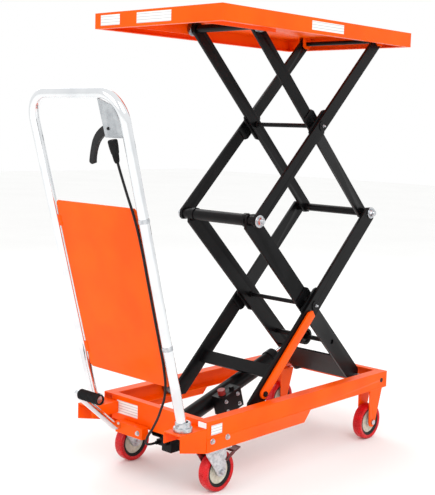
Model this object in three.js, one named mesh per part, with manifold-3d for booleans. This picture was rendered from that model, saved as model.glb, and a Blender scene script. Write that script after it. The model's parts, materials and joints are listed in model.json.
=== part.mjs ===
// Double scissor lift table on a hand trolley, shown with its platform raised.
// Millimetres, +Z up, +X from the push handle to the front, origin on the floor
// under the middle of the whole machine. Left is +Y, right is -Y.
import * as THREE from "three";
import { mergeVertices } from "three/addons/utils/BufferGeometryUtils.js";
import Module from "manifold-3d";

const wasm = await Module();
wasm.setup();

// ---------- driving dimensions ----------
const GAP = 0.3;                    // kept between faces that touch
const RUNNING_GAP = 0.5;            // radial play of a pin in its hole
const ROUND = 20;                   // sides of a round bar

const ARM_LENGTH = 809;             // pivot to pivot
const RAISED_ANGLE = 44.65 * Math.PI / 180;
const LOWER_INNER_WIDTH = 60;
const LOWER_OUTER_WIDTH = 54;
const UPPER_ARM_WIDTH = 41;
const ARM_THICKNESS = 10;
const OUTER_ARM_Y = 152;            // middle of an outer arm
const INNER_ARM_Y = 118;            // middle of an inner arm
const ARM_END = 20;                 // arm past its pivot

const TABLE_LENGTH = 905;
const TABLE_WIDTH = 510;
const TABLE_SKIRT = 45;
const TABLE_SHEET = 3;
const TABLE_LIP = 14;
const TABLE_OVERHANG = 40;          // table past the front pivots

const CHASSIS_LENGTH = 894;
const CHASSIS_WIDTH = 436;
const CHASSIS_SHEET = 3;
const CHASSIS_OVERHANG = 54;        // rails past the front pivot
const DECK_HEIGHT = 137;            // underside of the deep half of a rail
const RAIL_DEEP = 89;
const RAIL_SHALLOW = 55;
const RAIL_FLANGE = 36;
const DEEP_LENGTH = 439;            // deep half of a rail, from the rear end
const STEP_RUN = 34;
const MOUNT_FLANGE = 78;            // lower flange that carries a caster
const MOUNT_FLANGE_LENGTH = 130;

const WHEEL_RADIUS = 60;
const WHEEL_WIDTH = 34;
const WHEEL_AXLE_RADIUS = 6;
const WHEEL_SIDE_GAP = 3;           // wheel to the cheek of its fork
const FRONT_AXLE_SETBACK = 75;      // front axle behind the front end of the rails
const FRONT_WHEEL_INSET = 25;       // middle of a front wheel inside the rail's outer face
const CASTER_INSET = 38;            // kingpin inside the rail's outer face
const CASTER_SETBACK = 57;          // kingpin ahead of the rear end of the rails
const CASTER_TRAIL = 27;
const CASTER_PLATE = [100, 76, 4];
const FORK_SHEET = 3;
const FRONT_FORK_SHEET = 4;

const REAR_MEMBER_DROP = 76;        // rear member below the top of the rails

const CORNER_REACH = 103;           // rear corner bracket behind the rails
const CORNER_TOP_DROP = 18;
const CORNER_WIDTH = 67;

const HANDLE_RADIUS = 14;
const HANDLE_INSET = 32;            // handle leg inside the rail's outer face
const HANDLE_SETBACK = 63;          // handle foot behind the rails
const HANDLE_LENGTH = 942;
const HANDLE_LEAN = 15.25 * Math.PI / 180;
const HANDLE_BEND = 75;
const BRACKET_BEND_CLEARANCE = 3;   // lever bracket inside the bend of the handle
const PANEL_BOTTOM = 128;
const PANEL_TOP = 640;
const PANEL_SHEET = 3;

const ROLLER_RADIUS = 24.2;
const ROLLER_WIDTH = 22;
const TOP_ROLLER_RADIUS = 21;
const TOP_ROLLER_WIDTH = 15;
const PIN_RADIUS = 10;
const ROLLER_PIN_RADIUS = 8;
const THIN_SHAFT_RADIUS = 7;
const REAR_TUBE_RADIUS = 18;
const FRONT_TUBE_RADIUS = 13;
const BOSS_RADIUS = 21;

const RAM_FOOT_SETBACK = 97;        // ram foot ahead of the rear end of the rails
const RAM_FOOT_HEIGHT = 150;
const RAM_PIN_ALONG = 200;          // ram pin up the lower inner arm
const RAM_PIN_RADIUS = 8;
const RAM_RADIUS = 25;
const RAM_ROD_RADIUS = 14;
const BARREL_LENGTH = 470;
const EYE_CLEARANCE = 12;
const EYE_WALL = 8;

const PEDAL_SOCKET_HALF = 13;
const PEDAL_REACH = 166;            // pedal grip behind its socket
const PEDAL_RISE = 132;             // pedal grip above the tube's lower end
const PEDAL_BEND = 20;
const PEDAL_RADIUS = 11;

const STRUT_LENGTH = 320;
const STRUT_WIDTH = 32;
const STRUT_THICKNESS = 7;
const STRUT_ALONG = 60;             // strut pivot up the lower outer arm
const CABLE_RADIUS = 3.5;
const CABLE_LEG_GAP = 3.5;          // cable to the handle leg that it runs down
const TIE_CLEARANCE = 19.5;         // ram barrel to the tie across the outer arms
const RAM_FLOOR_CLEARANCE = 3;      // ram barrel to the underside of its bracket

// ---------- derived places, with x = 0 at the front pivots ----------
const RISE = ARM_LENGTH * Math.sin(RAISED_ANGLE);
const SPAN = ARM_LENGTH * Math.cos(RAISED_ANGLE);
const railTop = DECK_HEIGHT + RAIL_DEEP;
const channelFloor = railTop - RAIL_SHALLOW + CHASSIS_SHEET;
const channelRoof = railTop - CHASSIS_SHEET;
const baseZ = (channelFloor + channelRoof) / 2;
const middleZ = baseZ + RISE;
const topZ = baseZ + 2 * RISE;
const tableUnderside = topZ + TOP_ROLLER_RADIUS + RUNNING_GAP;
const tableTop = tableUnderside + TABLE_SHEET;
const rearX = -SPAN;
const centreX = -SPAN / 2;
const railFront = CHASSIS_OVERHANG;
const railRear = CHASSIS_OVERHANG - CHASSIS_LENGTH;
const halfChassis = CHASSIS_WIDTH / 2;
const frontWheelY = halfChassis - FRONT_WHEEL_INSET;
const casterY = halfChassis - CASTER_INSET;
const cornerInnerY = halfChassis - CORNER_WIDTH;
const handleY = halfChassis - HANDLE_INSET;
const innerFace = INNER_ARM_Y - ARM_THICKNESS / 2;
const outerFace = OUTER_ARM_Y + ARM_THICKNESS / 2;
const handleX = railRear - HANDLE_SETBACK;
const cornerTop = railTop - CORNER_TOP_DROP;
const cornerRear = railRear - CORNER_REACH;
const casterX = railRear + CASTER_SETBACK;
const rearAxleX = casterX + CASTER_TRAIL;
const frontAxleX = railFront - FRONT_AXLE_SETBACK;
const handleReach = HANDLE_LENGTH * Math.sin(HANDLE_LEAN) + HANDLE_RADIUS;
const middleOfMachine = (railFront + handleX - handleReach) / 2;
const ramFootX = railRear + RAM_FOOT_SETBACK;
const ramPinRaisedX = -RAM_PIN_ALONG * Math.cos(RAISED_ANGLE);
const ramPinRaisedZ = baseZ + RAM_PIN_ALONG * Math.sin(RAISED_ANGLE);
const ramDX = ramPinRaisedX - ramFootX;
const ramDZ = ramPinRaisedZ - RAM_FOOT_HEIGHT;
const ramLength = Math.hypot(ramDX, ramDZ);
const ramTilt = Math.atan2(ramDZ, ramDX);
const ramFloor = RAM_FOOT_HEIGHT - RAM_RADIUS - RAM_FLOOR_CLEARANCE;

// ---------- finishes ----------
function finish(color, roughness, metalness) {
  return new THREE.MeshStandardMaterial({ color, roughness, metalness });
}

const orangePaint = finish("#fb5a14", 0.42, 0.0);
const blackPaint = finish("#141416", 0.38, 0.0);
const chrome = finish("#d9dbdd", 0.12, 1.0);
const zinc = finish("#c3c6c8", 0.32, 1.0);
const blackPlastic = finish("#1b1b1d", 0.55, 0.0);
const redTread = finish("#e0202a", 0.4, 0.0);
const greySteel = finish("#a9adb0", 0.4, 0.8);
const rollerSteel = finish("#6d7074", 0.35, 0.9);

// ---------- shape helpers ----------
function merge(geometry) {
  const bare = geometry.clone();
  bare.deleteAttribute("normal");
  bare.deleteAttribute("uv");
  return mergeVertices(bare, 1e-4);
}

function toSolid(geometry) {
  const merged = merge(geometry);
  return new wasm.Manifold(new wasm.Mesh({
    numProp: 3,
    vertProperties: new Float32Array(merged.attributes.position.array),
    triVerts: new Uint32Array(merged.index.array),
  }));
}

function toGeometry(solid) {
  const mesh = solid.getMesh();
  const geometry = new THREE.BufferGeometry();
  geometry.setAttribute("position", new THREE.BufferAttribute(mesh.vertProperties, 3));
  geometry.setIndex(new THREE.BufferAttribute(mesh.triVerts, 1));
  geometry.computeVertexNormals();
  return geometry;
}

function join(...geometries) {
  return toGeometry(geometries.map(toSolid).reduce((all, next) => all.add(next)));
}

function cut(geometry, ...tools) {
  return toGeometry(tools.map(toSolid).reduce((rest, tool) => rest.subtract(tool), toSolid(geometry)));
}

// A box between two corners.
function block(x0, x1, y0, y1, z0, z1) {
  const geometry = new THREE.BoxGeometry(x1 - x0, y1 - y0, z1 - z0);
  return geometry.translate((x0 + x1) / 2, (y0 + y1) / 2, (z0 + z1) / 2);
}

// A round bar across the machine, along Y.
function barY(radius, y0, y1, x = 0, z = 0, sides = ROUND) {
  return new THREE.CylinderGeometry(radius, radius, y1 - y0, sides).translate(x, (y0 + y1) / 2, z);
}

// A round bar along X.
function barX(radius, x0, x1, y = 0, z = 0, sides = ROUND) {
  const geometry = new THREE.CylinderGeometry(radius, radius, x1 - x0, sides);
  return geometry.rotateZ(Math.PI / 2).translate((x0 + x1) / 2, y, z);
}

// A round bar standing upright.
function barZ(radius, z0, z1, x = 0, y = 0, sides = ROUND) {
  const geometry = new THREE.CylinderGeometry(radius, radius, z1 - z0, sides);
  return geometry.rotateX(Math.PI / 2).translate(x, y, (z0 + z1) / 2);
}

// A flat plate from an outline in X and Z, between two places across the machine.
function plateY(outline, y0, y1) {
  const shape = outline instanceof THREE.Shape ? outline : new THREE.Shape(points(outline));
  const geometry = new THREE.ExtrudeGeometry(shape, { depth: y1 - y0, bevelEnabled: false, curveSegments: 8 });
  return geometry.rotateX(Math.PI / 2).translate(0, y1, 0);
}

// A flat plate from an outline in Y and Z, between two places along the machine.
function plateX(outline, x0, x1) {
  const shape = outline instanceof THREE.Shape ? outline : new THREE.Shape(points(outline));
  const geometry = new THREE.ExtrudeGeometry(shape, { depth: x1 - x0, bevelEnabled: false, curveSegments: 8 });
  return geometry.rotateX(Math.PI / 2).rotateZ(Math.PI / 2).translate(x0, 0, 0);
}

function points(list) {
  return list.map(([a, b]) => new THREE.Vector2(a, b));
}

// A ring or stepped round piece about Y, from [radius, y] pairs in a closed loop.
function turned(profile, sides = ROUND) {
  return new THREE.LatheGeometry(points([...profile, profile[0]]), sides);
}

function sleeve(inner, outer, y0, y1, sides = ROUND) {
  return turned([[inner, y0], [outer, y0], [outer, y1], [inner, y1]], sides);
}

// Straight runs joined by round corners.
function roundedPath(corners, radius) {
  const arcPull = 0.5523;
  const path = new THREE.CurvePath();
  let from = corners[0];
  for (let i = 1; i < corners.length - 1; i += 1) {
    const back = from.clone().sub(corners[i]).normalize();
    const ahead = corners[i + 1].clone().sub(corners[i]).normalize();
    const halfTurn = back.angleTo(ahead) / 2;
    const setback = radius / Math.tan(halfTurn);
    const start = corners[i].clone().addScaledVector(back, setback);
    const end = corners[i].clone().addScaledVector(ahead, setback);
    const pull = setback * (1 - arcPull);
    path.add(new THREE.LineCurve3(from, start));
    path.add(new THREE.CubicBezierCurve3(
      start,
      corners[i].clone().addScaledVector(back, pull),
      corners[i].clone().addScaledVector(ahead, pull),
      end,
    ));
    from = end;
  }
  path.add(new THREE.LineCurve3(from, corners[corners.length - 1]));
  return path;
}

function sweep(path, radius, steps, sides) {
  const section = new THREE.Shape();
  section.absarc(0, 0, radius, 0, 2 * Math.PI, false);
  const options = { steps, bevelEnabled: false, extrudePath: path, curveSegments: sides };
  return new THREE.ExtrudeGeometry(section, options);
}

const machine = new THREE.Group();
machine.position.x = -middleOfMachine;

function add(parent, name, geometry, material) {
  const mesh = new THREE.Mesh(geometry, material);
  mesh.name = name;
  parent.add(mesh);
  return mesh;
}

function group(parent, x = 0, y = 0, z = 0) {
  const made = new THREE.Group();
  made.position.set(x, y, z);
  parent.add(made);
  return made;
}

// The two sides of the machine: the sign of y and the word in a piece's name.
const SIDES = [[1, "left"], [-1, "right"]];

// Turns a piece made for the left side over to the right one.
function onSide(side, geometry) {
  if (side > 0) return geometry;
  const turnedOver = merge(geometry);
  turnedOver.scale(1, -1, 1);
  const index = turnedOver.index.array;
  for (let i = 0; i < index.length; i += 3) {
    const first = index[i];
    index[i] = index[i + 1];
    index[i + 1] = first;
  }
  turnedOver.computeVertexNormals();
  return turnedOver;
}

// ---------- chassis ----------
const chassis = group(machine);

function sideRail() {
  const outer = halfChassis;
  const inner = outer - RAIL_FLANGE;
  const low = railTop - RAIL_SHALLOW;
  const channel = plateX([
    [outer, low], [outer, railTop], [inner, railTop], [inner, channelRoof],
    [outer - CHASSIS_SHEET, channelRoof], [outer - CHASSIS_SHEET, channelFloor],
    [inner, channelFloor], [inner, low],
  ], railRear, railFront);
  const lapHeight = 4;
  const deepEnd = railRear + DEEP_LENGTH;
  const skirt = plateY([
    [railRear, DECK_HEIGHT], [deepEnd, DECK_HEIGHT], [deepEnd + STEP_RUN, low + lapHeight],
    [railRear, low + lapHeight],
  ], outer - CHASSIS_SHEET / 2, outer + CHASSIS_SHEET / 2);
  const mount = block(
    railRear, railRear + MOUNT_FLANGE_LENGTH,
    outer - MOUNT_FLANGE, outer, DECK_HEIGHT, DECK_HEIGHT + CHASSIS_SHEET,
  );
  const holeRadius = 8;
  const holeSetback = 32;
  const hole = barY(holeRadius, outer - 10, outer + 10, railFront - holeSetback, baseZ);
  return cut(join(channel, skirt, mount), hole);
}

function frontFork() {
  const top = railTop - RAIL_SHALLOW - GAP;
  const halfTop = 35;
  const tipRadius = 17;
  const shift = 16;
  const cheek = new THREE.Shape();
  cheek.moveTo(frontAxleX + halfTop + shift - 1, top);
  cheek.lineTo(frontAxleX - halfTop + shift - 1, top);
  cheek.lineTo(frontAxleX - tipRadius, WHEEL_RADIUS);
  cheek.absarc(frontAxleX, WHEEL_RADIUS, tipRadius, Math.PI, 2 * Math.PI, false);
  cheek.closePath();
  const near = frontWheelY + WHEEL_WIDTH / 2 + WHEEL_SIDE_GAP;
  const far = frontWheelY - WHEEL_WIDTH / 2 - WHEEL_SIDE_GAP;
  const sheet = FRONT_FORK_SHEET;
  const bridge = block(
    frontAxleX - halfTop + shift, frontAxleX + halfTop + shift - 2,
    far - sheet / 2, near + sheet / 2, top - sheet, top,
  );
  const body = join(plateY(cheek, near, near + sheet), plateY(cheek, far - sheet, far), bridge);
  const holeRadius = WHEEL_AXLE_RADIUS + RUNNING_GAP;
  return cut(body, barY(holeRadius, far - 20, near + 20, frontAxleX, WHEEL_RADIUS));
}

function frontAxle() {
  const cheekFace = WHEEL_WIDTH / 2 + WHEEL_SIDE_GAP + FRONT_FORK_SHEET + GAP;
  const near = frontWheelY + cheekFace;
  const far = frontWheelY - cheekFace;
  const head = 6;
  const headRadius = 9.5;
  return join(
    barY(WHEEL_AXLE_RADIUS, far - 2, near + 2, frontAxleX, WHEEL_RADIUS),
    barY(headRadius, near, near + head, frontAxleX, WHEEL_RADIUS, 6),
    barY(headRadius, far - head, far, frontAxleX, WHEEL_RADIUS, 6),
  );
}

function rearCorner() {
  const sheet = CHASSIS_SHEET;
  const front = railRear - GAP;
  const innerDrop = 34;
  const rearDrop = 47;
  const top = block(cornerRear, front, cornerInnerY, halfChassis, cornerTop - sheet, cornerTop);
  const inner = block(
    cornerRear, front, cornerInnerY, cornerInnerY + sheet, cornerTop - innerDrop, cornerTop - 1,
  );
  const outer = plateY([
    [cornerRear, cornerTop - rearDrop], [front, DECK_HEIGHT], [front, cornerTop - 1],
    [cornerRear, cornerTop - 1],
  ], halfChassis - sheet, halfChassis);
  return join(top, inner, outer);
}

function collar() {
  const base = 12;
  const height = 26;
  const wide = 27;
  const narrow = 22;
  const ring = join(
    barZ(wide, 0, base),
    barZ(narrow, base - 1, height),
  );
  const socket = barZ(HANDLE_RADIUS + GAP, -20, 60).rotateY(-HANDLE_LEAN);
  return cut(ring, socket).translate(handleX, handleY, cornerTop + GAP);
}

for (const [side, word] of SIDES) {
  add(chassis, `${word}_side_rail`, onSide(side, sideRail()), orangePaint);
  add(chassis, `${word}_front_fork`, onSide(side, frontFork()), orangePaint);
  add(chassis, `${word}_front_axle`, onSide(side, frontAxle()), zinc);
  add(chassis, `${word}_rear_corner`, onSide(side, rearCorner()), orangePaint);
  add(chassis, `${word}_handle_collar`, onSide(side, collar()), zinc);
}

const memberY = halfChassis - RAIL_FLANGE - GAP;

function frontMember() {
  const flange = 24;
  const sheet = CHASSIS_SHEET;
  const low = railTop - RAIL_SHALLOW;
  const back = railFront - flange;
  return plateY([
    [railFront, low], [railFront, railTop], [back, railTop], [back, railTop - sheet],
    [railFront - sheet, railTop - sheet], [railFront - sheet, low + sheet], [back, low + sheet],
    [back, low],
  ], -memberY, memberY);
}

function rearMember() {
  const flange = 24;
  const drop = REAR_MEMBER_DROP;
  const sheet = CHASSIS_SHEET;
  return plateY([
    [railRear, railTop - drop], [railRear + sheet, railTop - drop], [railRear + sheet, railTop - sheet],
    [railRear + flange, railTop - sheet], [railRear + flange, railTop], [railRear, railTop],
  ], -memberY, memberY);
}

const basePivotReach = halfChassis - CHASSIS_SHEET - GAP;
const ramCheekY = RAM_RADIUS + 5;

function ramBracket() {
  const back = railRear + CHASSIS_SHEET + GAP;
  const sheet = 5;
  const floor = ramFloor;
  const outline = [
    [back, railTop - 60], [back + 30, floor], [ramFootX + 22, floor], [ramFootX + 22, RAM_FOOT_HEIGHT + 16],
    [ramFootX - 40, railTop - 20], [back, railTop - 20],
  ];
  const right = plateY(outline, -ramCheekY - sheet, -ramCheekY);
  const left = plateY(outline, ramCheekY, ramCheekY + sheet);
  const base = block(back + 30, ramFootX + 22, -ramCheekY - 1, ramCheekY + 1, floor, floor + sheet);
  const reach = ramCheekY + sheet + 6;
  const pin = barY(RAM_PIN_RADIUS, -reach, reach, ramFootX, RAM_FOOT_HEIGHT);
  return join(right, left, base, pin);
}

add(chassis, "front_cross_member", frontMember(), orangePaint);
add(chassis, "rear_cross_member", rearMember(), orangePaint);
add(chassis, "ram_bracket", ramBracket(), blackPaint);
add(chassis, "base_pivot_shaft", barY(PIN_RADIUS, -basePivotReach, basePivotReach, 0, baseZ), zinc);

// ---------- handle, in its own leaning frame: z runs up the legs ----------
const handle = group(machine, handleX, 0, cornerTop + GAP);
handle.rotation.y = -HANDLE_LEAN;
const legFoot = 6;
const bendInside = handleY - HANDLE_RADIUS;

function handleTube() {
  const path = roundedPath([
    new THREE.Vector3(0, handleY, legFoot),
    new THREE.Vector3(0, handleY, HANDLE_LENGTH),
    new THREE.Vector3(0, -handleY, HANDLE_LENGTH),
    new THREE.Vector3(0, -handleY, legFoot),
  ], HANDLE_BEND);
  return sweep(path, HANDLE_RADIUS, 76, 5);
}

function handlePanel() {
  const half = bendInside - 6;
  const cornerCut = 8;
  return plateX([
    [-half, PANEL_BOTTOM + cornerCut], [-half + cornerCut, PANEL_BOTTOM],
    [half - cornerCut, PANEL_BOTTOM], [half, PANEL_BOTTOM + cornerCut],
    [half, PANEL_TOP - cornerCut], [half - cornerCut, PANEL_TOP],
    [-half + cornerCut, PANEL_TOP], [-half, PANEL_TOP - cornerCut],
  ], -PANEL_SHEET / 2, PANEL_SHEET / 2);
}

const triggerPivotY = 68 - handleY;
const triggerPivotZ = HANDLE_LENGTH - 92;
const bracketSheet = 4;
const bracketLow = triggerPivotZ - 24;

function leverBracket() {
  const legSide = -bendInside + GAP;
  const barSide = HANDLE_LENGTH - HANDLE_RADIUS - GAP;
  const insideRadius = HANDLE_BEND - HANDLE_RADIUS - BRACKET_BEND_CLEARANCE;
  const diagonal = insideRadius * Math.SQRT1_2;
  const shortOfBend = 12;
  const bendY = -handleY + HANDLE_BEND;
  const bendZ = HANDLE_LENGTH - HANDLE_BEND;
  const plate = plateX([
    [legSide, bracketLow], [triggerPivotY + 18, bracketLow], [triggerPivotY + 22, barSide], [bendY + shortOfBend, barSide], [bendY - diagonal, bendZ + diagonal],
    [legSide, bendZ - shortOfBend],
  ], -bracketSheet / 2, bracketSheet / 2);
  return cut(plate, barX(4.5, -10, 10, triggerPivotY, triggerPivotZ));
}

add(handle, "handle_tube", handleTube(), chrome);
add(handle, "handle_panel", handlePanel(), orangePaint);
add(handle, "lever_bracket", leverBracket(), greySteel);

// The trigger is one moulding on the front face of its bracket.
const triggerDepth = 12;

function releaseTrigger() {
  const outline = new THREE.Shape();
  outline.moveTo(-12, 2);
  outline.quadraticCurveTo(-8, 14, 6, 12);
  outline.quadraticCurveTo(52, 0, 78, -34);
  outline.quadraticCurveTo(96, -62, 108, -92);
  outline.quadraticCurveTo(104, -102, 92, -98);
  outline.quadraticCurveTo(84, -70, 64, -46);
  outline.quadraticCurveTo(40, -20, 6, -14);
  outline.quadraticCurveTo(-8, -12, -12, 2);
  const face = bracketSheet / 2 + GAP;
  const lever = plateX(outline, face, face + triggerDepth);
  const pin = barX(3.8, -face - 3, face + 2, 0, 0, 16);
  return join(lever, pin).translate(0, triggerPivotY, triggerPivotZ);
}

add(handle, "release_trigger", releaseTrigger(), blackPlastic);

// A place given in the handle's frame, moved into the machine's.
function onHandle([x, y, z]) {
  const turnedPlace = new THREE.Vector3(x, y, z).applyAxisAngle(new THREE.Vector3(0, 1, 0), -HANDLE_LEAN);
  return turnedPlace.add(handle.position);
}

// The cable runs from the bracket down the inside of the right leg, then across to the valve.
const cableEndX = railRear + 15;
const cableEndZ = ramFloor - 10;
const cableY = handleY - HANDLE_RADIUS - CABLE_RADIUS - CABLE_LEG_GAP;
const cableRoute = [
  ...[
    [-7, 34 - cableY, bracketLow - 4], [-7, 33 - cableY, 794], [-7, 30 - cableY, 762],
    [-7, 19 - cableY, 690], [-7, 5 - cableY, 609], [-7, -cableY, 530], [-7, -cableY, 440], [-7, -cableY, 340], [-7, -cableY, 250], [-7, 1 - cableY, 190],
  ].map(onHandle),
  ...[
    [-944, 9 - cableY, 322], [-922, -114, 248], [-897, -62, 188], [-886, -26, 146],
    [-870, -6, cableEndZ + 9],
    [-850, 0, cableEndZ + 1], [cableEndX, 0, cableEndZ],
  ].map(([x, y, z]) => new THREE.Vector3(x, y, z)),
];

function releaseCable() {
  const path = new THREE.CatmullRomCurve3(cableRoute, false, "centripetal");
  return sweep(path, CABLE_RADIUS, 60, 4);
}

add(machine, "release_cable", releaseCable(), blackPlastic);

// ---------- scissor arms, each lying along its own x with the middle at 0 ----------
function armOutline(width) {
  const half = ARM_LENGTH / 2;
  const tip = ARM_END / 4;
  const slope = width / 2 - tip;
  return [
    [-half - ARM_END, tip], [-half - ARM_END, -tip], [-half - ARM_END + slope, -width / 2],
    [half + ARM_END - slope, -width / 2], [half + ARM_END, -tip], [half + ARM_END, tip],
    [half + ARM_END - slope, width / 2], [-half - ARM_END + slope, width / 2],
  ];
}

function doublerOutline(width) {
  const length = 104;
  const proud = 7;
  const notch = 12;
  const half = width / 2;
  return [
    [-length / 2, -half], [-length / 2 + notch, -half - proud], [length / 2 - notch, -half - proud],
    [length / 2, -half], [length / 2, half], [length / 2 - notch, half + proud],
    [-length / 2 + notch, half + proud], [-length / 2, half],
  ];
}

const holeRadius = PIN_RADIUS + RUNNING_GAP;
const doublerSheet = 5;

// y is the middle of the arm, and inward is 1 where its doubler faces the middle of the machine.
function arm(width, y, inward, holes) {
  const low = y - ARM_THICKNESS / 2;
  const high = y + ARM_THICKNESS / 2;
  const bar = plateY(armOutline(width), low, high);
  const doubler = inward
    ? plateY(doublerOutline(width), low - doublerSheet, low + 1)
    : plateY(doublerOutline(width), high - 1, high + doublerSheet);
  const drills = holes.map(([x, radius]) => barY(radius, low - 20, high + 20, x));
  return cut(join(bar, doubler), ...drills);
}

const halfArm = ARM_LENGTH / 2;
const stubReach = halfChassis - CHASSIS_SHEET - GAP;

// A frame of the scissor: its middle at height z, rising to the front or to the rear.
function armFrame(z, risesForward) {
  const frame = group(machine, centreX, 0, z);
  frame.rotation.y = risesForward ? -RAISED_ANGLE : RAISED_ANGLE;
  return frame;
}

const lowerInner = armFrame(baseZ + RISE / 2, false);
const lowerOuter = armFrame(baseZ + RISE / 2, true);
const upperOuter = armFrame(middleZ + RISE / 2, true);
const upperInner = armFrame(middleZ + RISE / 2, false);

const looseHole = PIN_RADIUS + 2 * RUNNING_GAP;
const tubeHole = FRONT_TUBE_RADIUS + 2 * RUNNING_GAP;
const ramPinX = halfArm - RAM_PIN_ALONG;
const acrossInner = innerFace - GAP;
const acrossOuter = OUTER_ARM_Y - ARM_THICKNESS / 2 - GAP;

for (const [side, word] of SIDES) {
  const lowerInnerArm = arm(LOWER_INNER_WIDTH, INNER_ARM_Y, false, [
    [halfArm, holeRadius], [0, holeRadius], [-halfArm, holeRadius], [ramPinX, RAM_PIN_RADIUS + RUNNING_GAP],
  ]);
  add(lowerInner, `${word}_lower_inner_arm`, onSide(side, lowerInnerArm), blackPaint);
  const footStub = barY(ROLLER_PIN_RADIUS, outerFace - 2, stubReach, -halfArm);
  const lowerOuterArm = join(
    arm(LOWER_OUTER_WIDTH, OUTER_ARM_Y, true, [[0, holeRadius], [halfArm, holeRadius]]),
    footStub,
  );
  add(lowerOuter, `${word}_lower_outer_arm`, onSide(side, lowerOuterArm), blackPaint);
  const upperOuterArm = arm(UPPER_ARM_WIDTH, OUTER_ARM_Y, true, [
    [-halfArm, looseHole], [0, holeRadius], [halfArm, THIN_SHAFT_RADIUS + RUNNING_GAP],
  ]);
  add(upperOuter, `${word}_upper_outer_arm`, onSide(side, upperOuterArm), blackPaint);
  const upperInnerArm = arm(UPPER_ARM_WIDTH, INNER_ARM_Y, false, [
    [halfArm, tubeHole], [0, holeRadius], [-halfArm, ROLLER_PIN_RADIUS + GAP],
  ]);
  add(upperInner, `${word}_upper_inner_arm`, onSide(side, upperInnerArm), blackPaint);
}

function centreShaft() {
  const journal = innerFace - 6;
  return join(
    barY(THIN_SHAFT_RADIUS, -journal - 1, journal + 1),
    barY(PIN_RADIUS, journal, outerFace),
    barY(PIN_RADIUS, -outerFace, -journal),
  );
}

function innerPlate() {
  const start = halfArm - 160;
  const end = halfArm - 28;
  const sheet = 6;
  const low = -LOWER_INNER_WIDTH / 2;
  return block(start, end, -acrossInner, acrossInner, low, low + sheet);
}

// The tie sits as far up the outer arms as keeps its lower edge clear of the ram barrel.
function outerTie() {
  const width = 44;
  const sheet = 8;
  const acrossX = rearX + sheet / 2 * Math.sin(RAISED_ANGLE) - ramFootX;
  const acrossZ = baseZ - sheet / 2 * Math.cos(RAISED_ANGLE) - RAM_FOOT_HEIGHT;
  const footHeight = acrossZ * Math.cos(ramTilt) - acrossX * Math.sin(ramTilt);
  const needed = RAM_RADIUS + TIE_CLEARANCE - footHeight;
  const along = width / 2 + needed / Math.sin(RAISED_ANGLE - ramTilt) - halfArm;
  return block(along - width / 2, along + width / 2, -acrossOuter, acrossOuter, -sheet / 2, sheet / 2);
}

// The rear tube of the middle pivots, with its journals, spacers and bolt heads.
function middleRearTube() {
  const spacer = 16;
  const headRadius = 13;
  const bossLength = 12;
  const pieces = [barY(REAR_TUBE_RADIUS, -acrossInner, acrossInner, -halfArm)];
  for (const [side] of SIDES) {
    const at = (radius, y0, y1, sides = ROUND) => {
      pieces.push(onSide(side, barY(radius, y0, y1, -halfArm, 0, sides)));
    };
    at(BOSS_RADIUS, acrossInner - bossLength, acrossInner);
    at(PIN_RADIUS, acrossInner - 2, outerFace + 6);
    at(spacer, INNER_ARM_Y + ARM_THICKNESS / 2 + GAP, OUTER_ARM_Y - ARM_THICKNESS / 2 - GAP);
    at(headRadius + 3, outerFace + GAP, outerFace + 3);
    at(headRadius, outerFace + 2, outerFace + 13, 6);
  }
  return join(...pieces);
}

// The front tube of the middle pivots carries the upper inner arms.
function middleFrontTube() {
  const headRadius = 13;
  const pieces = [barY(FRONT_TUBE_RADIUS, -acrossOuter, acrossOuter, halfArm)];
  for (const [side] of SIDES) {
    const at = (radius, y0, y1, sides = ROUND) => {
      pieces.push(onSide(side, barY(radius, y0, y1, halfArm, 0, sides)));
    };
    at(PIN_RADIUS, acrossOuter - 2, outerFace + 6);
    at(headRadius + 3, outerFace + GAP, outerFace + 3);
    at(headRadius, outerFace + 2, outerFace + 13, 6);
  }
  return join(...pieces);
}

const topRollerY = INNER_ARM_Y + ARM_THICKNESS / 2 + 3;

function upperRearTube() {
  const reach = topRollerY + TOP_ROLLER_WIDTH;
  return join(
    barY(12, -acrossInner, acrossInner, -halfArm),
    barY(ROLLER_PIN_RADIUS, -reach, reach, -halfArm),
  );
}

add(lowerInner, "lower_inner_plate", innerPlate(), blackPaint);
add(lowerInner, "ram_pin", barY(RAM_PIN_RADIUS, -INNER_ARM_Y, INNER_ARM_Y, ramPinX), zinc);
add(lowerInner, "middle_rear_tube", middleRearTube(), blackPaint);
add(lowerOuter, "lower_outer_tie", outerTie(), blackPaint);
add(lowerOuter, "lower_centre_shaft", centreShaft(), blackPaint);
add(lowerOuter, "middle_front_tube", middleFrontTube(), blackPaint);
add(upperOuter, "upper_centre_shaft", centreShaft(), blackPaint);
add(upperInner, "upper_rear_tube", upperRearTube(), blackPaint);

const topShaftReach = outerFace + 12;
const topShaft = barY(THIN_SHAFT_RADIUS, -topShaftReach, topShaftReach, halfArm);
add(upperOuter, "upper_front_shaft", topShaft, blackPaint);

function safetyStrut() {
  const inner = outerFace + 2;
  const outer = inner + STRUT_THICKNESS;
  const half = STRUT_WIDTH / 2;
  const shape = new THREE.Shape();
  shape.absarc(0, 0, half, Math.PI / 2, 3 * Math.PI / 2, false);
  shape.lineTo(STRUT_LENGTH - 4, -half);
  shape.lineTo(STRUT_LENGTH, half / 3);
  shape.lineTo(STRUT_LENGTH - half, half);
  shape.closePath();
  const bar = plateY(shape, inner, outer);
  const bolt = barY(9, outer - 1, outer + 6, 0, 0, 6);
  const washer = barY(8, outerFace + GAP, inner + 1);
  return join(bar, bolt, washer);
}

const strutFrame = group(lowerOuter, STRUT_ALONG - halfArm, 0, 0);
add(strutFrame, "safety_strut", onSide(-1, safetyStrut()), orangePaint);

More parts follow.
